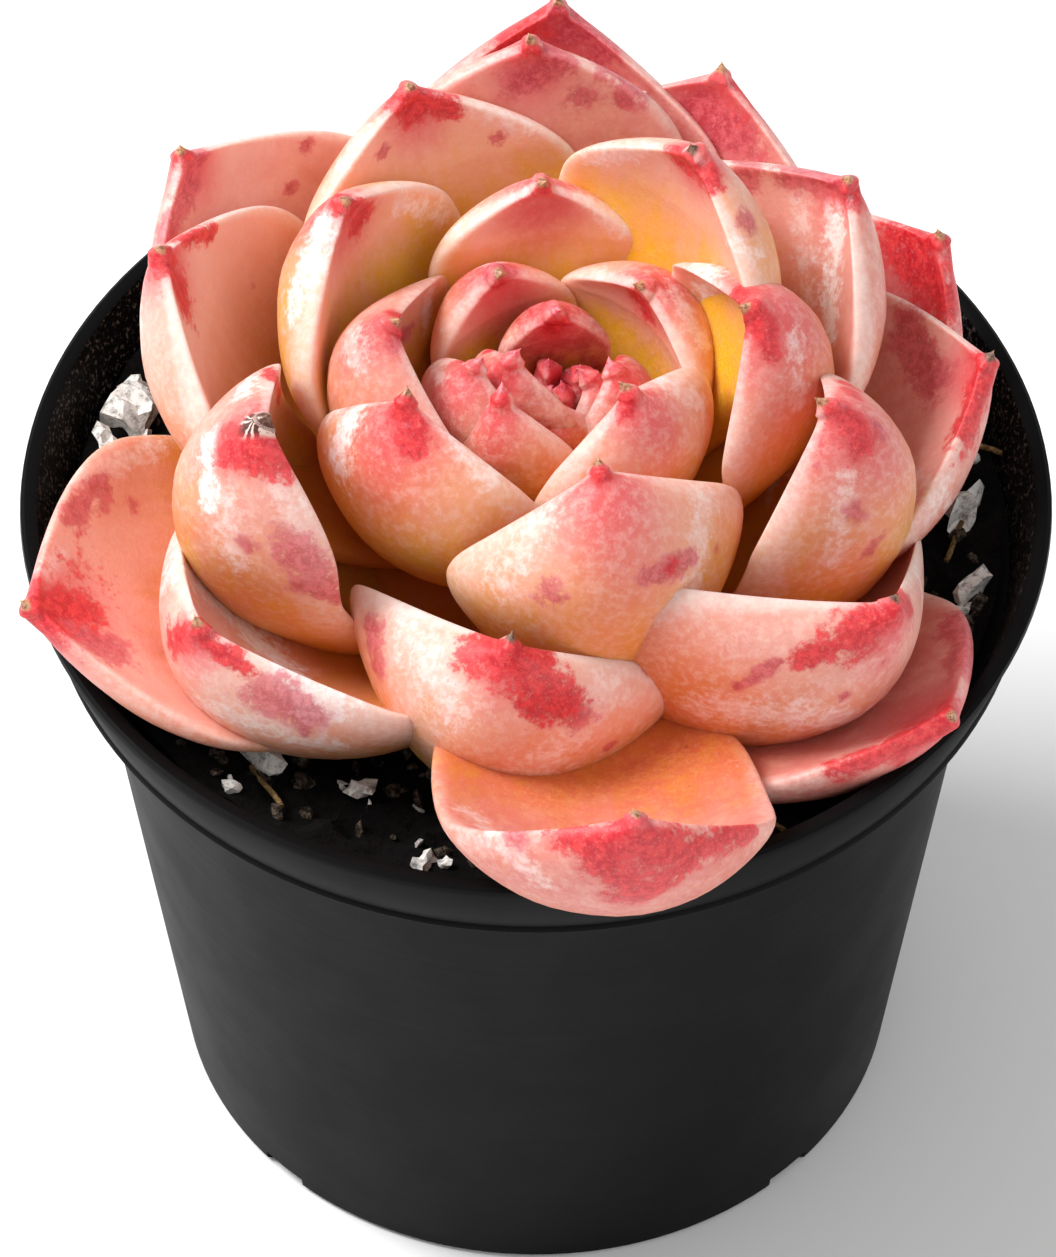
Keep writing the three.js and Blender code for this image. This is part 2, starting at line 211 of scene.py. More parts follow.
def make_pot():
    deselect()
    now_radius, now_height = POT_PROFILE[0][0] - FOOT_ROUND, 0
    bpy.ops.mesh.primitive_circle_add(vertices=POT_SIDES, radius=now_radius * MM,
                                      fill_type="NGON", location=(0, 0, 0))
    pot = bpy.context.object
    bpy.ops.object.mode_set(mode="EDIT")
    for radius, height in POT_PROFILE:
        bpy.ops.mesh.extrude_region_move(
            TRANSFORM_OT_translate={"value": (0, 0, (height - now_height) * MM)})
        spread = radius / now_radius
        bpy.ops.transform.resize(value=(spread, spread, 1))
        now_radius, now_height = radius, height
    bpy.ops.mesh.inset(thickness=FLOOR_INSET * MM)
    settle(pot)
    for angle in map(math.radians, SLOT_ANGLES):
        place = (SLOT_RADIUS * MM * math.cos(angle), SLOT_RADIUS * MM * math.sin(angle), 0)
        bpy.ops.mesh.primitive_cube_add(size=MM, location=place, rotation=(0, 0, angle), scale=SLOT_SIZE)
        slot = bpy.context.object
        cut = pot.modifiers.new("slot", "BOOLEAN")
        cut.operation = "DIFFERENCE"
        cut.object = slot
        deselect()
        pot.select_set(True)
        bpy.context.view_layer.objects.active = pot
        bpy.ops.object.modifier_apply(modifier="slot")
        bpy.data.objects.remove(slot)
    settle(pot)
    bpy.ops.object.shade_smooth_by_angle(angle=math.radians(POT_CREASE))
    return pot


finish_piece(make_pot(), "nursery_pot", pot_finish(), ["pot"])


# The soil. Dark peat with bark crumbs fills the pot to just under the lip, a little lower towards
# the stem. White perlite and a few bits of straw lie in it, loose or half sunk.
SOIL_Z = LIP_Z - 5
SOIL_DISH = 5
SOIL_EDGE = 45.2
SOIL_SIDE = [                       # radius and height of each ring, going down from the edge
    (SOIL_EDGE - 0.5, 67.8), (42.6, 67.5), (34.3, 2.0),
]
SOIL_RINGS = 84
SOIL_SPOKES = 260
SOIL_CREASE, GRAIN_CREASE = 50, 28  # degrees past which an edge stays sharp
CRUMBS = 420
CRUMB_SIZES = (0.35, 1.25)
FINE_GRAINS = 34                    # of perlite, besides those listed
STRAW_RADIUS = 0.28
GRAINS = [                          # azimuth, distance from the axis, radius
    (160, 42, 2.6), (156, 44.2, 1.8), (166, 44, 1.7), (151, 41.5, 1.2), (3, 41.5, 2.4),
    (350, 43.6, 1.9), (346, 42.2, 1.1), (229, 39, 1.9), (229, 44, 1.1), (256, 43.6, 1.3),
    (243, 36.5, 1.3), (224, 36.6, 1.0), (12, 43.6, 0.9), (172, 43.8, 0.9), (200, 43, 0.8),
]
STRAWS = [                          # azimuth, distance, length, direction
    (14, 43.0, 8, 60), (358, 40.5, 5, 150), (232, 41.5, 6, 20), (215, 42, 4, 100), (300, 43, 5, 40),
]
chance = np.random.default_rng(11)


def soil_height(x, y):
    """Height of the soil in millimetres. The lumps are those that the solid has."""
    reach = min(1, math.hypot(x, y) / SOIL_EDGE)
    lumps = (math.sin(0.55 * x + 1.1) * math.cos(0.47 * y - 0.4)
             + 0.6 * math.sin(0.93 * y + 0.31 * x) + 0.5 * math.cos(1.21 * x - 0.77 * y + 2))
    return SOIL_Z - SOIL_DISH * (1 - reach ** 2) + 0.4 * lumps


def soil_finish(name, dark, light, size, rough=0.95):
    finish = Finish(name)
    coarse = finish.noise(size * 4, 5, 0.6)
    fine = finish.noise(size, 4, 0.7)
    shade = finish.mix(finish.ramp(coarse, 0.35, 0.65), tint(dark), tint(light))
    shade = finish.mix(finish.ramp(fine, 0.3, 0.75), tint(dark), shade)
    finish.set(base_color=shade, roughness=rough)
    finish.set(normal=finish.bump(fine, 0.35, 0.9, finish.bump(coarse, 0.8, 0.6)))
    finish.shader.inputs["Specular IOR Level"].default_value = 0.15
    return finish.material


def make_soil():
    deselect()
    bpy.ops.mesh.primitive_circle_add(vertices=SOIL_SPOKES, radius=SOIL_EDGE * MM,
                                      fill_type="NOTHING", location=(0, 0, 0))
    soil = bpy.context.object
    bpy.ops.object.mode_set(mode="EDIT")
    bpy.ops.mesh.select_all(action="SELECT")
    radius = SOIL_EDGE
    for ring in range(1, SOIL_RINGS):
        smaller = SOIL_EDGE * (1 - ring / SOIL_RINGS) ** 1.15
        bpy.ops.mesh.extrude_edges_move(TRANSFORM_OT_translate={"value": (0, 0, 0)})
        bpy.ops.transform.resize(value=(smaller / radius, smaller / radius, 1))
        radius = smaller
    bpy.ops.mesh.merge(type="CENTER")
    bpy.ops.object.mode_set(mode="OBJECT")
    for vertex in soil.data.vertices:
        x, y = vertex.co.x / MM, vertex.co.y / MM
        rough = 0.9 * noise.noise(Vector((x, y, 3)) * 0.55) + 0.5 * noise.noise(Vector((x, y, 9)) * 1.3)
        edge = min(1, (SOIL_EDGE - math.hypot(x, y)) / 2)
        vertex.co.z = (soil_height(x, y) + rough * edge) * MM
    bpy.ops.object.mode_set(mode="EDIT")
    bpy.ops.mesh.select_all(action="DESELECT")
    bpy.ops.mesh.select_non_manifold()
    for radius, height in SOIL_SIDE:
        bpy.ops.mesh.extrude_edges_move(TRANSFORM_OT_translate={"value": (0, 0, 0)})
        bpy.ops.object.mode_set(mode="OBJECT")
        for vertex in soil.data.vertices:
            if vertex.select:
                reach = math.hypot(vertex.co.x, vertex.co.y)
                vertex.co = (vertex.co.x * radius * MM / reach, vertex.co.y * radius * MM / reach,
                             height * MM)
        bpy.ops.object.mode_set(mode="EDIT")
    bpy.ops.mesh.edge_face_add()
    settle(soil)
    bpy.ops.object.shade_smooth_by_angle(angle=math.radians(SOIL_CREASE))
    return soil


def lump(location, size, flat, detail, rough):
    """A rough grain: a ball with pushed-in sides, turned at random."""
    bpy.ops.mesh.primitive_ico_sphere_add(subdivisions=detail, radius=size * MM)
    grain = bpy.context.object
    seed = Vector(chance.uniform(0, 50, 3))
    for vertex in grain.data.vertices:
        vertex.co *= 1 + rough * noise.noise(seed + vertex.co * (1.3 / (size * MM)))
        vertex.co.z *= flat
    grain.rotation_euler = chance.uniform(0, 6, 3)
    grain.location = Vector(location) * MM
    return grain


def join(pieces):
    deselect()
    for piece in pieces:
        piece.select_set(True)
    bpy.context.view_layer.objects.active = pieces[0]
    bpy.ops.object.transform_apply(location=True, rotation=True, scale=True)
    bpy.ops.object.join()
    return bpy.context.object


def on_soil(azimuth, distance, lift):
    x = distance * math.cos(math.radians(azimuth))
    y = distance * math.sin(math.radians(azimuth))
    return x, y, soil_height(x, y) + lift


def make_crumbs():
    crumbs = []
    for _ in range(CRUMBS):
        distance = SOIL_EDGE * chance.uniform(0.5, 0.975) ** 0.8
        size = chance.uniform(*CRUMB_SIZES)
        distance = min(distance, SOIL_EDGE - size * 1.2)
        crumbs.append(lump(on_soil(chance.uniform(0, 360), distance, 0.15 * size), size,
                           chance.uniform(0.35, 0.9), 1, 0.6))
    return join(crumbs)


def make_perlite():
    grains = []
    for azimuth, distance, size in GRAINS:
        distance = min(distance, SOIL_EDGE - 1.25 * size)
        grains.append(lump(on_soil(azimuth, distance, 0.2 * size), size, 0.65, 2, 1.1))
        near = on_soil(azimuth + chance.uniform(-4, 4), distance - chance.uniform(0, 2), 0.2)
        grains.append(lump(near, 0.5 * size, 0.6, 2, 1.1))
    for _ in range(FINE_GRAINS):
        place = on_soil(chance.uniform(0, 360), chance.uniform(30, 43.5), 0.1)
        grains.append(lump(place, chance.uniform(0.2, 0.7), 0.6, 1, 1.0))
    return join(grains)


def make_straws():
    straws = []
    for azimuth, distance, length, turn in STRAWS:
        bpy.ops.mesh.primitive_cylinder_add(vertices=8, radius=STRAW_RADIUS * MM, depth=length * MM)
        straw = bpy.context.object
        bpy.ops.object.mode_set(mode="EDIT")
        bpy.ops.mesh.subdivide(number_cuts=6)
        bpy.ops.object.mode_set(mode="OBJECT")
        for vertex in straw.data.vertices:
            vertex.co.x += 0.5 * MM * math.sin(vertex.co.z * 500)
        straw.rotation_euler = (math.radians(86), 0, math.radians(turn))
        straw.location = Vector(on_soil(azimuth, distance, 0.9)) * MM
        straws.append(straw)
    return join(straws)


def perlite_finish():
    finish = Finish("perlite")
    pits = finish.noise(0.8, 4, 0.7)
    finish.set(base_color=finish.mix(finish.ramp(pits, 0.3, 0.55), tint("8f8a83"), tint("e6e3de")))
    finish.set(roughness=0.9, normal=finish.bump(pits, 0.25, 0.7))
    return finish.material


finish_piece(make_soil(), "potting_soil", soil_finish("soil", "030202", "120e0b", 0.8), ["soil"])
crumb_finish = soil_finish("bark_crumb", "080605", "7c6c5e", 0.5)
finish_piece(make_crumbs(), "bark_crumbs", crumb_finish)
perlite = make_perlite()
bpy.ops.object.shade_smooth_by_angle(angle=math.radians(GRAIN_CREASE))
finish_piece(perlite, "perlite_grains", perlite_finish())
finish_piece(make_straws(), "straw_bits", soil_finish("straw", "6b5230", "b59a68", 0.4, 0.8))


# The stem. A short fleshy stalk, hidden by the leaves that grow round it in a spiral. It keeps the
# solid's shape, with a skin of dry, pale brown leaf scars.
def stem_finish():
    finish = Finish("stem_skin")
    scars = finish.noise(1.5, 4, 0.6)
    finish.set(base_color=finish.mix(scars, tint("8c6a45"), tint("c9a878")), roughness=0.7)
    finish.set(normal=finish.bump(scars, 0.3))
    return finish.material


nodes["stem"].data.materials.clear()
nodes["stem"].data.materials.append(stem_finish())


# The leaves. Each is one thick, fleshy blade, cupped above, rounded below, with a small dry point.
# They grow in a spiral from the stem and press on one another near their bases. Angles are in
# degrees and lengths in millimetres; blunt is high for a square end, late for a curl near the tip.
# Most rows are rounded from computed fits to the leaves' outlines in the photograph, and some were
# changed from there. Only those of leaves 16, 18 and 23 were picked one by one.
Leaf = namedtuple("Leaf", "azimuth pitch curl roll length width thickness cup drop blunt late")
LEAVES = [
    Leaf(87, 38, 118, 8, 51, 35, 7, 0.55, 0, 2.7, 1),
    Leaf(205, 18, 66, -13, 50, 36, 6.2, 0.33, -0.8, 2.3, 1),
    Leaf(279, 27, 105, -6, 63.6, 31.5, 6, 0.35, -3.8, 3.3, 2.9),
    Leaf(64, 33, 100, 2, 45, 34, 6, 0.4, 0, 2.7, 1),
    Leaf(28, 24, 110, 6, 47, 34, 6.5, 0.3, 0, 2.7, 1),
    Leaf(149, 40, 82, -6, 47, 36, 6, 0.3, 0, 2.5, 1),
    Leaf(320, 11, 90, -2, 49, 33, 6.2, 0.25, -1.8, 2.7, 1),
    Leaf(6, 25, 95, 4, 45, 33, 6.5, 0.4, 0, 2.7, 1),
    Leaf(172, 46, 90, 0, 48, 35, 7, 0.4, 0, 2.5, 1),
    Leaf(92, 48, 108, 5, 45, 32, 7, 0.15, 0, 2.7, 1),
    Leaf(222, 25, 120, -2, 50, 33, 7.5, 0.5, -0.5, 2.8, 1),
    Leaf(29, 45, 93, 7, 43, 33, 7.5, 0.5, 0, 2.7, 1),
    Leaf(319, 29, 122, -27, 52, 39, 6, 0.75, 1.5, 3, 1),
    Leaf(264, 40, 146, -10, 48, 33, 7.2, 0.68, 4, 4.4, 1),
    Leaf(117, 49, 95, 2, 41, 31, 7.5, 0.35, 0, 2.5, 1),
    Leaf(213, 55, 130, -22, 58, 24, 8, 0.7, 7, 5.5, 1),
    Leaf(38, 70, 90, 0, 41, 31, 6.5, 0.4, 0, 2.7, 1),
    Leaf(332, 54, 136, 14, 54, 24, 8.5, 0.7, 6, 3.2, 1),
    Leaf(153, 58, 112, -1, 39, 29, 7, 0.35, 0, 2.5, 1),
    Leaf(281, 57, 140, 6, 45, 29, 9, 0.5, 0, 2.3, 1),
    Leaf(222, 61, 120, 15, 36, 26, 6.5, 0.35, 0, 2.2, 1),
    Leaf(94, 62, 104, 3, 29, 22, 6.5, 0.3, 0, 2.5, 1),
    Leaf(348, 62, 144, 26, 43, 24, 6, 0.8, 1, 5.5, 1),
    Leaf(125, 71, 98, -2, 21, 16, 6, 0.35, 0, 2.3, 1),
    Leaf(192, 62, 134, -4, 34, 27, 5.5, 0.75, 0, 3, 1),
    Leaf(35, 68, 131, 7, 24.5, 20, 6.2, 0.45, 1, 3.9, 1),
    Leaf(299, 65, 92, 16, 29, 22, 7, 0.3, 0, 2.1, 1),
    Leaf(238, 68, 96, 14, 22, 14, 5.5, 0.25, 0, 1.8, 1),
    Leaf(215, 69, 96, 4, 22, 16, 6, 0.3, 0, 2.1, 1),
    Leaf(98, 86, 73, 2, 15, 11, 4.5, 0.35, 0, 2.1, 1),
    Leaf(223, 76, 60, 2, 18, 13, 5, 0.4, 0, 2.1, 1),
    Leaf(330, 74, 95, 8, 15, 11.5, 5, 0.4, 0, 2.1, 1),
    Leaf(336, 83, 100, 0, 10.5, 7.5, 4, 0.35, 0, 1.8, 1),
    Leaf(256, 68, 100, 4, 14, 10, 4.5, 0.35, 0, 1.8, 1),
]
CROWN_START = (0, -1, LIP_Z - 4)    # middle of the crown at the oldest leaf
CROWN_MOVE = (2.5, 2.5, 12)         # and how far it has moved at the youngest
CROWN_TILT = 0.45                   # the rosette tips to the front
CROWN_CLIMB = 1.5                   # above 1 the crown climbs ever faster
REACH_OLD, REACH_YOUNG = 8, 1.5     # distance of a leaf's base from the crown's middle
BROADEST = 0.6                      # share of the length at which the blade is broadest
NECK = 0.4                          # width of the base as a share of the blade's width
NECK_EASE, END_EASE = 1.15, 0.95    # how the width grows from the neck and shrinks to the end
PLUMP_ENDS = 0.75                   # thickness near the ends as a share of the middle's
THIN_END = 0.22                     # share of the length over which the end grows thin
UPPER_SHARE = 0.42                  # share of the thickness that lies above the mid surface
SIDE_FULL, FACE_FULL = 0.85, 0.9    # below 1 a cross-section is fuller than an ellipse
FLAT_BASE, HOLLOW_RUN = 0.05, 0.4   # the upper face is flat at first, and then grows hollow
BASE_BULGE = 0.4                    # how far the middle of the base stands out
WAVE, WAVE_SCALE = 0.22, 0.17       # how far the skin swells and sinks, and how often
MIDRIB_STEPS = 24
MUCRO_RADIUS = 1.1                  # the mucro is the dry point at the tip
MUCRO_LENGTHS, MUCRO_LEANS, MUCRO_HOOKS = (1.1, 1.8), (-0.6, 0.6), (-0.4, 0.5)
MUCRO_SHARE = 0.2                   # it counts as this much more of the length
GLOW_STRETCH = 1.7                  # the glow under a point reaches further down the midrib
LEAF_SIDES, LEAF_RINGS, MUCRO_RINGS = 56, 72, 5
RING_EASE, MUCRO_EASE = 1.35, 1.35  # how rings crowd towards the tip, and how the point tapers
whim = np.random.default_rng(5)


def signed_power(value, exponent):
    return np.sign(value) * np.abs(value) ** exponent


def leaf_base(row, share):
    """Where a leaf grows from the stem. Share is 0 for the oldest leaf and 1 for the youngest."""
    reach = REACH_OLD + (REACH_YOUNG - REACH_OLD) * share
    turn = math.radians(row.azimuth)
    return np.array([
        CROWN_START[0] + CROWN_MOVE[0] * share + reach * math.cos(turn),
        CROWN_START[1] + CROWN_MOVE[1] * share + reach * math.sin(turn),
        (CROWN_START[2] + CROWN_MOVE[2] * share ** CROWN_CLIMB
         + CROWN_TILT * reach * math.sin(turn) - row.drop),
    ])


def slope(row, share):
    """How steeply the midrib climbs at a share of the leaf's length."""
    return np.radians(row.pitch + row.curl * (share ** row.late - 1 / (row.late + 1)))


def midrib(row, share):
    """How far out and how far up the midrib has come there."""
    out, up = 0 * share, 0 * share
    for step in range(MIDRIB_STEPS):
        heading = slope(row, share * (step + 0.5) / MIDRIB_STEPS)
        out = out + np.cos(heading) * row.length * share / MIDRIB_STEPS
        up = up + np.sin(heading) * row.length * share / MIDRIB_STEPS
    return out, up


def half_width(row, share):
    young = NECK + (1 - NECK) * np.sin(0.5 * math.pi * np.minimum(share / BROADEST, 1)) ** NECK_EASE
    old = (1 - (np.maximum(share - BROADEST, 0) / (1 - BROADEST)) ** row.blunt) ** END_EASE
    return np.where(share < BROADEST, young, old) * row.width / 2


def thickness(row, share):
    plump = PLUMP_ENDS + (1 - PLUMP_ENDS) * np.sin(math.pi * share)
    return plump * np.sqrt(np.minimum(1, (1 - share) / THIN_END)) * row.thickness


def rolled(row, points, outward, rise):
    """Turns points about the line from the midrib's start to its end."""
    out, up = midrib(row, 1.0)
    chord = out * outward + up * rise
    chord = chord / np.linalg.norm(chord)
    spin = math.radians(row.roll)
    return (points * math.cos(spin) + np.cross(chord, points) * math.sin(spin)
            + np.outer(points @ chord, chord) * (1 - math.cos(spin)))


def note(mesh, name, values):
    """Keeps a value for each point of a mesh, for the finishes to read."""
    store = mesh.attributes.new(name, "FLOAT", "POINT")
    store.data.foreach_set("value", values.astype(np.float32))


def shape_leaf(piece, row, base, rings):
    """Draws a ball out along the midrib, ring by ring, and notes where on the leaf each point
    lies: along it from base (0) to tip (1), across it, on which face, and how far away from the
    tip, in millimetres that count for less down the midrib."""
    mesh = piece.data
    ball = np.empty(len(mesh.vertices) * 3, dtype=np.float32)
    mesh.vertices.foreach_get("co", ball)
    ball = ball.reshape(-1, 3).astype(float)
    ring = np.arccos(np.clip(ball[:, 2], -1, 1)) / math.pi * rings
    around = np.hypot(ball[:, 0], ball[:, 1])
    around[around < 1e-6] = 1
    side = signed_power(ball[:, 0] / around, SIDE_FULL)
    face = signed_power(ball[:, 1] / around, FACE_FULL)
    last = rings - 1 - MUCRO_RINGS
    step = np.clip((ring - 1) / (last - 1), 0, 1)
    share = 1 - (1 - step) ** RING_EASE
    point = np.clip((ring - last) / (MUCRO_RINGS + 1), 0, 1)

    turn = math.radians(row.azimuth)
    outward = np.array([math.cos(turn), math.sin(turn), 0])
    across = np.array([-math.sin(turn), math.cos(turn), 0])
    rise = np.array([0, 0, 1.0])
    angle = slope(row, share)
    out, up = midrib(row, share)
    centre = np.outer(out, outward) + np.outer(up, rise)
    along = np.outer(np.cos(angle), outward) + np.outer(np.sin(angle), rise)
    upper = np.outer(-np.sin(angle), outward) + np.outer(np.cos(angle), rise)

    half = half_width(row, share)
    plump = thickness(row, share)
    swell = np.array([noise.noise(Vector(spot)) for spot in (
        np.stack([side * half, share * row.length, 4 * face + 20 * turn], axis=1) * WAVE_SCALE)])
    away = np.hypot((1 - share) * row.length / GLOW_STRETCH, side * half)
    taper = (1 - point) ** MUCRO_EASE
    half = np.maximum(half, MUCRO_RADIUS) * taper
    plump = np.maximum(plump, 2 * MUCRO_RADIUS) * taper
    hollow = row.cup * np.clip((share - FLAT_BASE) / HOLLOW_RUN, 0, 1)
    lift = hollow * half * side ** 2 + face * plump * np.where(face > 0, UPPER_SHARE, 1 - UPPER_SHARE)
    lift += WAVE * swell * np.minimum(1, 4 * (1 - share)) * np.sin(math.pi * share)
    half[ring < 0.5] = 0
    lift[ring < 0.5] = 0
    lift[ring > rings - 0.5] = 0
    mucro, lean, hook = [whim.uniform(*span) for span in (MUCRO_LENGTHS, MUCRO_LEANS, MUCRO_HOOKS)]
    points = centre + along * (mucro * point - BASE_BULGE * (ring < 0.5))[:, None]
    points += across * (side * half + lean * point ** 2)[:, None]
    points += upper * (lift + hook * point ** 2)[:, None]
    points = rolled(row, points, outward, rise) + base
    mesh.vertices.foreach_set("co", (points * MM).astype(np.float32).ravel())
    note(mesh, "along", share + MUCRO_SHARE * point)
    note(mesh, "across", side)
    note(mesh, "face", face)
    note(mesh, "away", away)
    mesh.update()


def make_leaf(row, base, sides=LEAF_SIDES, rings=LEAF_RINGS):
    deselect()
    bpy.ops.mesh.primitive_uv_sphere_add(segments=sides, ring_count=rings, radius=1)
    leaf = bpy.context.object
    shape_leaf(leaf, row, base, rings)
    bpy.ops.object.mode_set(mode="EDIT")
    bpy.ops.mesh.select_all(action="SELECT")
    bpy.ops.mesh.normals_make_consistent(inside=False)
    bpy.ops.object.mode_set(mode="OBJECT")
    bpy.ops.object.shade_smooth()
    return leaf


# The skin of a leaf. The flesh is ochre at the base, peach in the middle and paler to the rim,
# under a thin waxy bloom. The ochre at the base is partly painted shade of the crevices between the
# leaves, the pale rim is partly painted highlight, and the upper face is lightened by painted light.
# Sun flushes it red under the point and in blotches with feathered edges.
# A tone says how pink, creamy, yellow and flushed a leaf is, and how far (mm) its tip glows red.
TONES = {
    1: (0.9, 0.3, 0.2, 0.6, 9), 2: (0.6, 0.05, 0.3, 0.15, 9), 3: (0.8, 0.2, 0.3, 0.45, 6),
    4: (0.9, 0.3, 0.2, 0.5, 8), 5: (0.8, 0.4, 0.2, 0.55, 9), 6: (0.7, 0.6, 0.3, 0.2, 5),
    7: (0.6, 0.3, 0.3, 0.5, 8), 8: (0.8, 0.5, 0.2, 0.3, 6), 9: (0.4, 0.6, 0.3, 0.1, 6),
    10: (0.8, 0.4, 0.5, 0.35, 6), 11: (0.5, 0.7, 0.3, 0.1, 5), 12: (0.8, 0.7, 0.4, 0.25, 5),
    13: (0.5, 0.6, 0.3, 0.2, 6), 14: (0.4, 0.8, 0.4, 0.05, 5), 15: (0.3, 0.6, 0.8, 0.05, 6),
    16: (0.7, 0.5, 0.7, 0.2, 6), 17: (0.3, 0.5, 0.9, 0.05, 5), 18: (0.6, 0.5, 0.7, 0.15, 10),
    19: (0.2, 0.7, 0.9, 0.05, 7), 20: (0.4, 0.4, 0.5, 0.0, 9), 21: (0.3, 0.35, 0.7, 0.05, 10),
    22: (0.3, 0.7, 0.9, 0.0, 7), 23: (0.6, 0.4, 0.7, 0.1, 11), 24: (0.5, 0.3, 0.9, 0.15, 7),
    25: (0.8, 0.3, 0.5, 0.2, 5), 26: (0.4, 0.6, 0.8, 0.1, 6), 27: (0.4, 0.5, 0.5, 0.1, 6),
    # The strong flush of leaves 30 to 34 round the heart is partly their own red and partly painted
    # shade of the deep centre.
    28: (0.5, 0.5, 0.5, 0.2, 5), 29: (0.7, 0.5, 0.4, 0.35, 5), 30: (0.6, 0.2, 0.6, 0.8, 5),
    31: (0.7, 0.2, 0.3, 0.7, 4), 32: (0.6, 0.3, 0.3, 0.7, 4), 33: (0.6, 0.4, 0.2, 0.5, 3),
    34: (0.7, 0.3, 0.2, 0.5, 4),
}
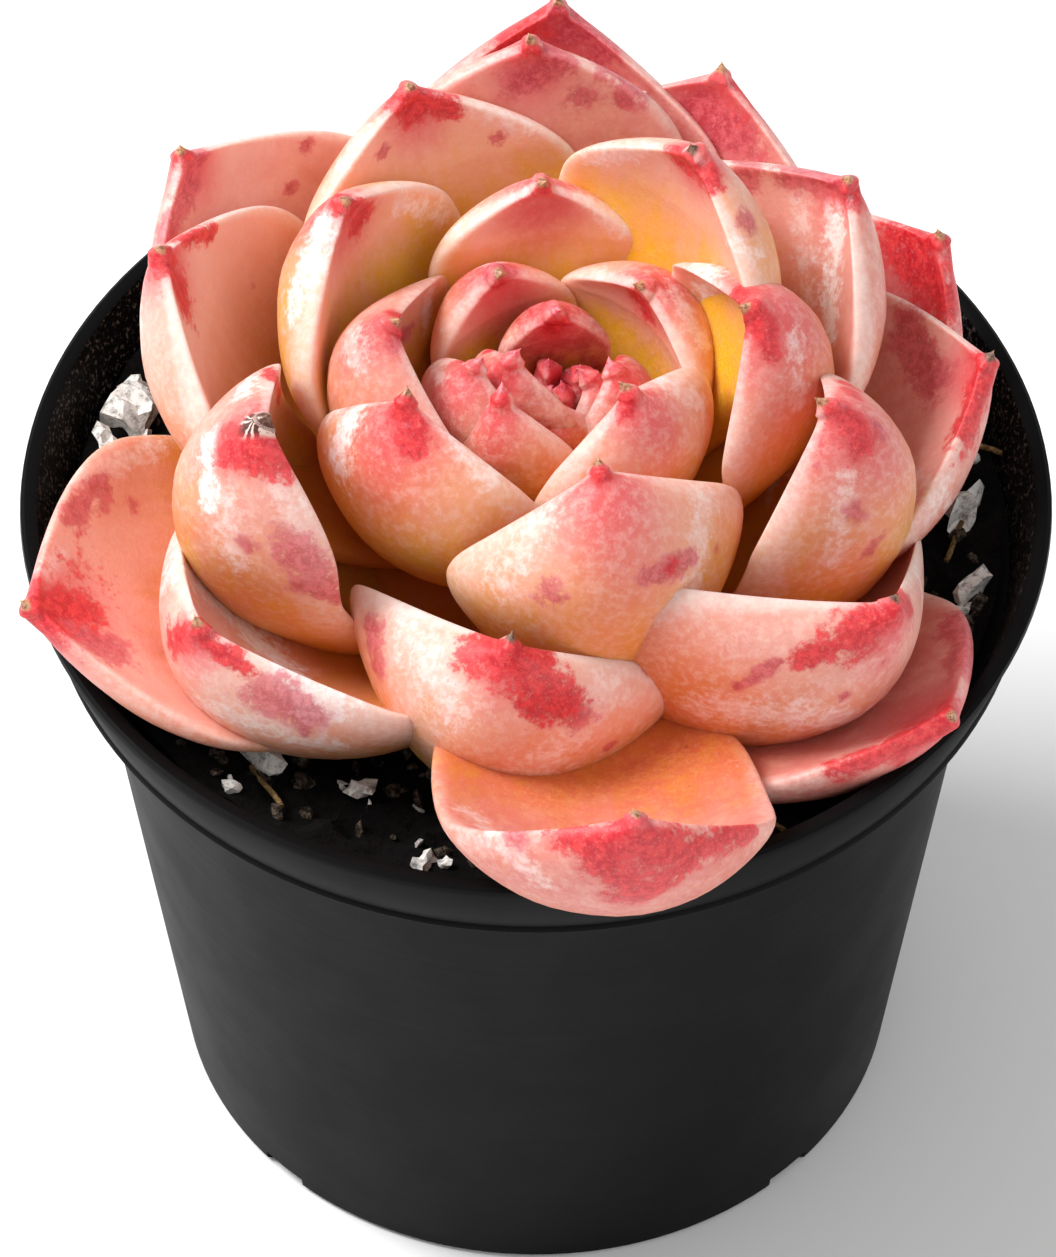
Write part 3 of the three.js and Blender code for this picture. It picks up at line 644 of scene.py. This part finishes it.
# Marks: column and row in the photograph, twice for a streak, then radius (mm) and kind.
MARKS = {
    1: [(560, 14, 600, 48, 2.5, "rose"), (520, 30, 3, "red")],
    2: [(14, 606, 60, 655, 4.2, "red"), (36, 606, 84, 612, 2.6, "red"),
        (30, 600, 110, 650, 2.6, "rose"), (100, 485, 74, 514, 1.7, "rose"), (133, 504, 0.9, "rose"),
        (62, 552, 46, 572, 1.3, "pale"), (94, 690, 0.7, "rose"), (74, 480, 160, 448, 1.1, "pale")],
    # On leaf 3 the broad orange streak is partly the flesh's own orange and partly painted shade on the
    # upper face behind its curled tip.
    3: [(575, 842, 700, 850, 2.3, "red"), (700, 850, 750, 825, 1.7, "red"),
        (595, 850, 628, 892, 2.4, "red"),
        (690, 858, 645, 893, 2.0, "red"), (628, 815, 1.8, "rose"), (515, 835, 1.4, "rose"),
        (470, 812, 540, 880, 1.5, "pale"), (688, 748, 0.4, "brown"), (688, 785, 0.35, "brown"),
        (742, 778, 0.35, "brown"), (560, 790, 700, 745, 5, "orange")],
    4: [(738, 85, 790, 148, 1.8, "red"), (700, 110, 740, 140, 3, "rose")],
    5: [(905, 238, 945, 300, 3.2, "red"), (940, 236, 2.2, "red")],
    6: [(182, 150, 1.3, "red"), (307, 145, 0.9, "rose"), (292, 188, 0.9, "rose"),
        (175, 215, 1.1, "rose"),
        (198, 160, 168, 235, 1.7, "rose"), (250, 130, 0.6, "rose")],
    7: [(975, 702, 900, 745, 2.6, "red"), (900, 745, 835, 770, 1.5, "red"),
        (955, 620, 968, 670, 2, "rose")],
    8: [(985, 358, 962, 432, 2.4, "red"), (905, 330, 935, 380, 2.6, "rose"), (930, 330, 0.4, "brown"),
        (955, 378, 0.35, "brown"), (890, 470, 950, 500, 1.8, "pale"),
        (895, 296, 950, 322, 0.9, "pale")],
    9: [(160, 245, 186, 305, 2.1, "red"), (160, 242, 210, 234, 1.1, "red"), (191, 235, 1.3, "rose"),
        (250, 316, 262, 332, 0.5, "orange"), (197, 327, 0.9, "rose"), (251, 290, 0.6, "rose"),
        (140, 262, 141, 350, 1.1, "pale")],
    10: [(580, 98, 1.5, "rose"), (622, 100, 1.3, "rose"), (560, 58, 520, 82, 2.2, "rose"),
         (530, 42, 1.6, "red"), (595, 62, 640, 90, 1.6, "rose")],
    11: [(190, 575, 320, 700, 3, "white"), (165, 540, 160, 600, 1.8, "pale"),
         (154, 645, 195, 634, 2, "red"),
         (195, 636, 245, 668, 1.3, "red"), (262, 692, 305, 712, 2.3, "rose"), (305, 732, 1.0, "rose"),
         (200, 705, 330, 748, 1.8, "pale")],
    12: [(790, 168, 845, 186, 2.2, "rose"), (858, 192, 1.8, "red"), (836, 215, 830, 330, 1.9, "white"),
         (800, 205, 808, 300, 1.5, "pale"), (748, 160, 742, 186, 1.6, "rose"),
         (880, 262, 0.4, "brown")],
    13: [(905, 602, 850, 638, 2.6, "red"), (850, 640, 800, 662, 1.5, "red"), (846, 696, 0.9, "rose"),
         (798, 724, 0.9, "rose"), (720, 729, 0.5, "rose"), (887, 662, 0.8, "rose"),
         (841, 642, 0.35, "brown"),
         (930, 560, 926, 625, 1.3, "pale"), (700, 708, 860, 722, 2.4, "pale"),
         (780, 660, 735, 688, 0.9, "rose")],
    14: [(372, 632, 376, 668, 1.8, "rose"), (475, 652, 560, 650, 2.5, "red"),
         (515, 662, 560, 700, 3, "red"),
         (540, 705, 582, 715, 2, "rose"), (608, 748, 1.1, "rose"), (648, 668, 0.9, "rose"),
         (405, 622, 450, 705, 2.6, "pale"), (610, 682, 540, 770, 2.6, "pale")],
    15: [(405, 102, 448, 106, 2.0, "red"), (412, 118, 1.3, "red"), (497, 138, 0.9, "rose"),
         (383, 152, 0.8, "rose"), (362, 130, 342, 165, 1.1, "pale"), (465, 100, 525, 122, 1.4, "pale")],
    16: [(256, 345, 246, 392, 1.6, "white"), (210, 440, 206, 500, 1.5, "white"),
         (230, 450, 285, 456, 2.5, "red"), (245, 544, 1.2, "rose"),
         (292, 548, 325, 582, 2.3, "rose"), (300, 586, 340, 596, 1.4, "rose"), (257, 605, 0.3, "brown"),
         (311, 648, 0.3, "brown"), (222, 495, 236, 565, 1.6, "pale"), (278, 485, 305, 540, 1.5, "pale"),
         (262, 352, 280, 392, 1.1, "red")],
    17: [(680, 160, 705, 178, 2.0, "red"), (716, 172, 1.3, "red"), (748, 222, 1.4, "rose"),
         (590, 160, 645, 150, 1.3, "pale"), (725, 240, 760, 255, 1.0, "pale")],
    18: [(816, 405, 770, 480, 1.2, "white"), (845, 412, 862, 445, 2.0, "red"),
         (842, 374, 855, 396, 1.3, "red"), (880, 430, 1.2, "rose"),
         (856, 511, 1.5, "rose"), (817, 467, 0.5, "rose"), (800, 430, 768, 495, 1.3, "pale"),
         (850, 480, 832, 565, 1.3, "pale"), (880, 535, 868, 555, 0.8, "rose")],
    19: [(346, 198, 362, 216, 2.0, "red"), (342, 283, 360, 285, 0.5, "orange"),
         (322, 225, 294, 305, 1.8, "white"),
         (400, 200, 440, 214, 1.4, "pale")],
    20: [(599, 474, 1.4, "red"), (551, 595, 1.7, "rose"), (650, 575, 690, 558, 1.4, "rose"),
         (672, 566, 0.9, "red"), (658, 598, 0.8, "rose"), (646, 619, 0.6, "rose"),
         (717, 550, 0.9, "rose"),
         (545, 520, 500, 580, 2, "pale"), (705, 500, 690, 600, 2, "pale")],
    21: [(399, 394, 414, 442, 1.8, "red"), (352, 405, 336, 462, 2.4, "white"), (345, 515, 0.3, "brown"),
         (420, 455, 0.3, "brown"), (455, 440, 492, 480, 1.4, "pale")],
    22: [(547, 185, 1.0, "red"), (460, 216, 0.7, "pale"), (475, 210, 440, 242, 0.8, "pale"),
         (580, 195, 622, 232, 1.0, "pale")],
    23: [(702, 264, 716, 330, 1.8, "white"), (737, 302, 762, 332, 2.2, "red"),
         (764, 335, 774, 352, 1.4, "red"),
         (795, 340, 800, 400, 1.5, "pale")],
    24: [(488, 270, 512, 272, 1.3, "rose"), (480, 266, 500, 262, 0.8, "pale"), (500, 285, 0.9, "red")],
    25: [(398, 316, 400, 332, 1.3, "red"), (408, 330, 395, 346, 1.0, "rose"),
         (430, 290, 424, 332, 0.8, "pale"),
         (350, 330, 358, 362, 1.5, "pale")],
    26: [(640, 300, 646, 313, 1.3, "red"), (672, 286, 706, 345, 1.2, "pale"), (598, 275, 1.0, "pale")],
    27: [(624, 400, 628, 412, 1.2, "red"), (662, 380, 702, 402, 1.5, "pale")],
    28: [(496, 384, 497, 396, 1.1, "red")],
    29: [(472, 352, 462, 362, 1.2, "red"), (430, 366, 440, 378, 0.9, "pale")],
    30: [(556, 311, 0.5, "pale"), (556, 324, 1.6, "red")],
    31: [(505, 346, 1.4, "red")],
    32: [(590, 372, 605, 362, 1.5, "red")],
    33: [(577, 370, 0.9, "red")],
    34: [(536, 382, 1.0, "red")],
}
Paint = namedtuple("Paint", "darker lighter strength crumbling full")
# Two shades of grain, how strongly they cover the flesh, how far their rim crumbles, and how deep
# inside a mark they cover it fully
PAINTS = {
    # Pale marks are partly paler bloom on the skin and partly painted highlight on lit faces.
    "pale": Paint("f2d8d0", "fbefeb", 0.5, 1.0, 1.0),
    # White marks are painted highlights, on ridges and margins and on lit faces.
    "white": Paint("f6e8e4", "fffdfc", 0.85, 1.0, 1.0),
    "orange": Paint("c8602a", "dc8440", 0.5, 1.0, 1.0),
    "rose": Paint("b83448", "d8606a", 0.8, 1.0, 0.5),
    "red": Paint("c4182a", "e23c40", 0.95, 1.0, 0.5),
    "brown": Paint("4a2a1c", "6a3c28", 0.9, 0.3, 0.5),
}
DARK_POINTS = (8, 13, 14, 16, 17)   # leaves whose dry point has turned dark brown
WRINKLED = 16                       # the leaf whose skin has shrunk into folds round the point
PIXELS = 10.35                      # of the photograph in a millimetre
BARE = -2.0                         # depth inside the marks far away from any of them
STREAK_STEP = 0.4                   # of a streak's radius, from one of its spots to the next
LAST_OUTER, LAST_MIDDLE = 13, 27    # leaves of the outer and the middle ring end here
# The colours of the flush, and of the lighter and darker grain of the dry point
# The darker flush of the young inner leaves is partly painted shade of the deep centre.
YOUNG_DRY = ("b5403a", "e88a90", "d03a50")
OLD_DRY = ("cf4a50", "c79a78", "6a4230")
DARK_DRY = ("cf4a50", "8a6a58", "3a2018")


def paint_marks(leaf, marks):
    """Notes how deep each point lies inside the marks of each kind: 1 is a mark's middle, and 0
    its rim. A mark lies where the camera sees its pixel on the leaf."""
    tree = BVHTree.FromObject(leaf, bpy.context.evaluated_depsgraph_get())
    points = np.empty(len(leaf.data.vertices) * 3, dtype=np.float32)
    leaf.data.vertices.foreach_get("co", points)
    points = points.reshape(-1, 3)
    reach = (Vector(points.mean(axis=0)) - eye).length
    depths = {kind: np.full(len(points), BARE) for kind in PAINTS}
    for *ends, size, kind in marks:
        start, end = np.array(ends[:2]), np.array(ends[-2:])
        steps = 1 + int(np.hypot(*(end - start)) / (STREAK_STEP * size * PIXELS))
        for column, row in np.linspace(start, end, steps):
            line = sight(column, row)
            spot = tree.ray_cast(eye, line)[0] or tree.find_nearest(eye + line * reach)[0]
            depth = 1 - np.linalg.norm(points - np.array(spot), axis=1) / (size * MM)
            depths[kind] = np.maximum(depths[kind], depth)
    for kind, depth in depths.items():
        note(leaf.data, kind, depth)


class Skin(Finish):
    """The finish of a leaf. It reads where on the leaf a point lies, and shares three grains."""

    def __init__(self, name):
        super().__init__(name)
        self.along, self.across = self.attribute("along"), self.attribute("across")
        self.face, self.away = self.attribute("face"), self.attribute("away")
        self.patchy = self.noise(2.4, 6, 0.66)
        self.mottle = self.noise(0.9, 5, 0.7)
        self.bloom = self.noise(0.4, 4, 0.7)

    def plus(self, a, b):
        return self.calculate("ADD", a, b)

    def swing(self, grain, amount):
        """A grain from 0 to 1, made to swing to both sides of 0."""
        return self.times(self.calculate("SUBTRACT", grain, 0.5), amount)

    def by_face(self, lower, upper):
        """One value on the lower face and another on the upper, eased between them."""
        return self.ramp(self.face, -0.1, 0.2, lower, upper)


def colour_share(skin, yellow):
    """The share of the length that a point's colour is taken from. It wavers and runs in streaks,
    and yellow reaches further out."""
    scaled = skin.node("ShaderNodeCombineXYZ", {
        0: skin.times(skin.across, 9.0), 1: skin.times(skin.along, 2.5), 2: skin.face})
    streak = skin.node("ShaderNodeTexNoise", {"Vector": scaled.outputs[0], "Scale": 1.0,
                                              "Detail": 4, "Roughness": 0.6}).outputs["Fac"]
    wave = skin.plus(skin.along, skin.swing(skin.noise(8, 3, 0.5), 0.3))
    wave = skin.plus(wave, skin.swing(streak, 0.25))
    return skin.calculate("SUBTRACT", wave, skin.by_face(0.08 + 0.16 * yellow, 0.2 * yellow))


def flesh_colour(skin, tone, flushing):
    pink, cream, yellow, flush, glow = tone
    wave = colour_share(skin, yellow)
    # The ochre of the root is partly the leaf's own colour and partly painted shade of the crevices
    # between the leaves.
    root = skin.mix(yellow, tint("cc7428"), tint("ecb81e"))
    middle = skin.mix(pink, tint("f0a074"), tint("e48a78"))
    outer = skin.mix(cream, tint("e8a494"), tint("eec2b2"))
    flesh = skin.mix(skin.ramp(wave, 0.34, 0.78), root, middle)
    flesh = skin.mix(skin.ramp(wave, 0.62, 1.0), flesh, outer)
    flesh = skin.mix(skin.ramp(skin.patchy, 0.4, 0.7, 0.0, 0.3), flesh, middle)

    under = skin.by_face(1.0, 0.25)
    bleached = skin.times(skin.ramp(wave, 0.42, 0.85, 0.0, 0.1 + 0.5 * cream), under)
    flesh = skin.mix(bleached, flesh, tint("ecc6bb"))
    # Painted light on the upper face: its outer part is made a lighter pink.
    painted_light_above = skin.times(skin.by_face(0.0, 0.4), skin.ramp(wave, 0.4, 0.75))
    flesh = skin.mix(painted_light_above, flesh, tint("f8ccc0"))
    flushed = skin.ramp(skin.patchy, 0.3, 0.6, 0.55 * flush, 1.15 * flush)
    flesh = skin.mix(flushed, flesh, tint(flushing))
    uneven = skin.plus(skin.away, skin.swing(skin.patchy, 3.0))
    flesh = skin.mix(skin.ramp(uneven, 0.15 * glow, glow, 0.85, 0.0), flesh, tint("dc4650"))

    # The paler rim is partly the leaf's own pale margin and partly a painted highlight along the edges.
    edge = skin.ramp(skin.calculate("ABSOLUTE", skin.across), 0.86, 1.0)
    edge = skin.times(edge, skin.ramp(skin.along, 0.3, 0.6))
    edge = skin.times(edge, skin.ramp(skin.mottle, 0.3, 0.7, 0.6 * cream, 0.3 + 0.6 * cream))
    flesh = skin.mix(edge, flesh, tint("f8e4dc"))
    pale = skin.times(skin.ramp(skin.mottle, 0.42, 0.66, 0.0, 0.15 + 0.3 * cream), under)
    pale = skin.times(pale, skin.ramp(skin.along, 0.35, 0.7))
    return skin.mix(pale, flesh, tint("f4d8ce"))


def add_marks(skin, flesh):
    """Lays the marks of each kind over the flesh, with rims that crumble."""
    ragged = skin.plus(skin.swing(skin.patchy, 2.6), skin.swing(skin.mottle, 2.6))
    for kind, paint in PAINTS.items():
        depth = skin.plus(skin.times(ragged, paint.crumbling), skin.attribute(kind))
        grainy = skin.mix(skin.ramp(skin.mottle, 0.4, 0.62), tint(paint.darker), tint(paint.lighter))
        flesh = skin.mix(skin.ramp(depth, -0.3, paint.full, 0.0, paint.strength), flesh, grainy)
    return flesh


def add_wrinkles(skin, flesh, length):
    """Lays dark and pale rays round the dry point of a leaf that is this long: the colour of the dry
    scar, with painted shade in the creases of its folds and painted highlight on their ridges.
    """
    down = skin.times(skin.calculate("SUBTRACT", 1.0, skin.along), length / GLOW_STRETCH)
    turned = skin.times(skin.calculate("DIVIDE", down, skin.away), 21.0)
    rays = skin.calculate("SINE", skin.plus(turned, skin.times(skin.mottle, 7.0)))
    # The rays are partly the colour of the dry scar and partly painted shade in the creases and painted
    # highlight on the ridges of the folds.
    scar_and_fold_shading = skin.mix(skin.ramp(rays, 0.0, 0.8), tint("4a2018"), tint("ecd8cc"))
    return skin.mix(skin.ramp(skin.away, 0.8, 1.7, 0.95, 0.0), flesh, scar_and_fold_shading)


def leaf_finish(name, tone, flushing, dry_light, dry_dark, wrinkled_length=0):
    skin = Skin(name)
    flesh = add_marks(skin, flesh_colour(skin, tone, flushing))
    if wrinkled_length:
        flesh = add_wrinkles(skin, flesh, wrinkled_length)
    waxed = skin.mix(skin.ramp(skin.bloom, 0.5, 0.8, 0.0, 0.2), flesh, tint("f6dcd2"))
    dried = skin.mix(skin.ramp(skin.bloom, 0.35, 0.6), tint(dry_dark), tint(dry_light))
    skin.set(base_color=skin.mix(skin.ramp(skin.along, 1.05, 1.11), waxed, dried))
    skin.set(roughness=skin.ramp(skin.bloom, 0.3, 0.8, 0.36, 0.58))
    skin.set(subsurface_weight=0.3, subsurface_scale=0.0028)
    skin.shader.inputs["Subsurface Radius"].default_value = (1.0, 0.48, 0.28)
    skin.shader.inputs["Specular IOR Level"].default_value = 0.45
    relief = skin.bump(skin.mottle, 0.08, 0.6, skin.bump(skin.patchy, 0.15, 0.6))
    skin.set(normal=skin.bump(skin.bloom, 0.06, 0.7, relief))
    return skin.material


for index, row in enumerate(LEAVES):
    number = index + 1
    slot = "inner_leaf"
    if number <= LAST_MIDDLE:
        slot = "outer_leaf" if number <= LAST_OUTER else "middle_leaf"
    leaf = make_leaf(row, leaf_base(row, index / (len(LEAVES) - 1)))
    paint_marks(leaf, MARKS[number])
    dry = YOUNG_DRY if slot == "inner_leaf" else OLD_DRY
    if number in DARK_POINTS:
        dry = DARK_DRY
    wrinkled_length = row.length if number == WRINKLED else 0
    skin = leaf_finish(f"leaf_skin_{number:02d}", TONES[number], *dry, wrinkled_length)
    finish_piece(leaf, f"blade_{number:02d}", skin, [f"leaf_{number:02d}"])


# The heart. The five youngest leaves are still closed over the growing point, deep red and shiny; the
# depth of their red is partly their own colour and partly painted shade of the rosette's deep centre.
HEART_LEAVES = 5
HEART_LENGTH, HEART_WIDTH, HEART_THICKNESS = 7.5, 4.6, 2.4
HEART_PITCH, HEART_CURL = 82, 40
HEART_CUP, HEART_BLUNT = 0.5, 2
HEART_SHRINK = 0.08                 # from one leaf to the next, as a share of the first leaf's size
HEART_LIFT, HEART_REACH = 0.3, 0.8  # of the leaves' bases, up and out from the crown's middle
HEART_SIDES, HEART_RINGS = 24, 30
HEART_TONE = (1.0, 0.0, 0.0, 0.9, 3)
SPIRAL = 137.5


def make_heart():
    middle = np.array(CROWN_START) + np.array(CROWN_MOVE) + (0, 0, HEART_LIFT)
    buds = []
    for count in range(HEART_LEAVES):
        size = 1 - HEART_SHRINK * count
        turn = math.radians(SPIRAL * count)
        row = Leaf(SPIRAL * count, HEART_PITCH, HEART_CURL, 0, HEART_LENGTH * size, HEART_WIDTH * size,
                   HEART_THICKNESS, HEART_CUP, 0, HEART_BLUNT, 1)
        base = middle + HEART_REACH * np.array([math.cos(turn), math.sin(turn), 0])
        buds.append(make_leaf(row, base, HEART_SIDES, HEART_RINGS))
    return join(buds)


heart = make_heart()
paint_marks(heart, [])
# Its dark flush colour is partly painted shade of the deep centre.
heart_finish = leaf_finish("heart_skin", HEART_TONE, "8f2c20", "d86070", "a02030")
finish_piece(heart, "heart_leaves", heart_finish, ["heart"])


# The stage: a plain pale floor, a soft white surround and two soft lamps.
bpy.ops.mesh.primitive_plane_add(size=6)
floor = bpy.context.object
floor.name = "floor"
floor_paint = Finish("floor_paint")
white = floor_paint.mix(floor_paint.noise(400, 1), tint("f4f4f4"), tint("f6f6f6"))
floor_paint.set(base_color=white, roughness=0.9)
floor.data.materials.append(floor_paint.material)


def add_lamp(name, place, size, power):
    bpy.ops.object.light_add(type="AREA", location=place)
    lamp = bpy.context.object
    lamp.name = name
    lamp.rotation_euler = (AIM - Vector(place)).to_track_quat("-Z", "Y").to_euler()
    lamp.data.size = size
    lamp.data.energy = power


add_lamp("key_lamp", (-0.75, 0.15, 1.05), 0.6, 19)
add_lamp("fill_lamp", (0.9, -0.7, 0.8), 1.0, 3.5)
world = bpy.data.worlds.new("surround")
world.use_nodes = True
world.node_tree.nodes["Background"].inputs["Color"].default_value = (1, 1, 1, 1)
world.node_tree.nodes["Background"].inputs["Strength"].default_value = 0.56
bpy.context.scene.world = world
bpy.context.scene.view_settings.view_transform = "Standard"
deselect()
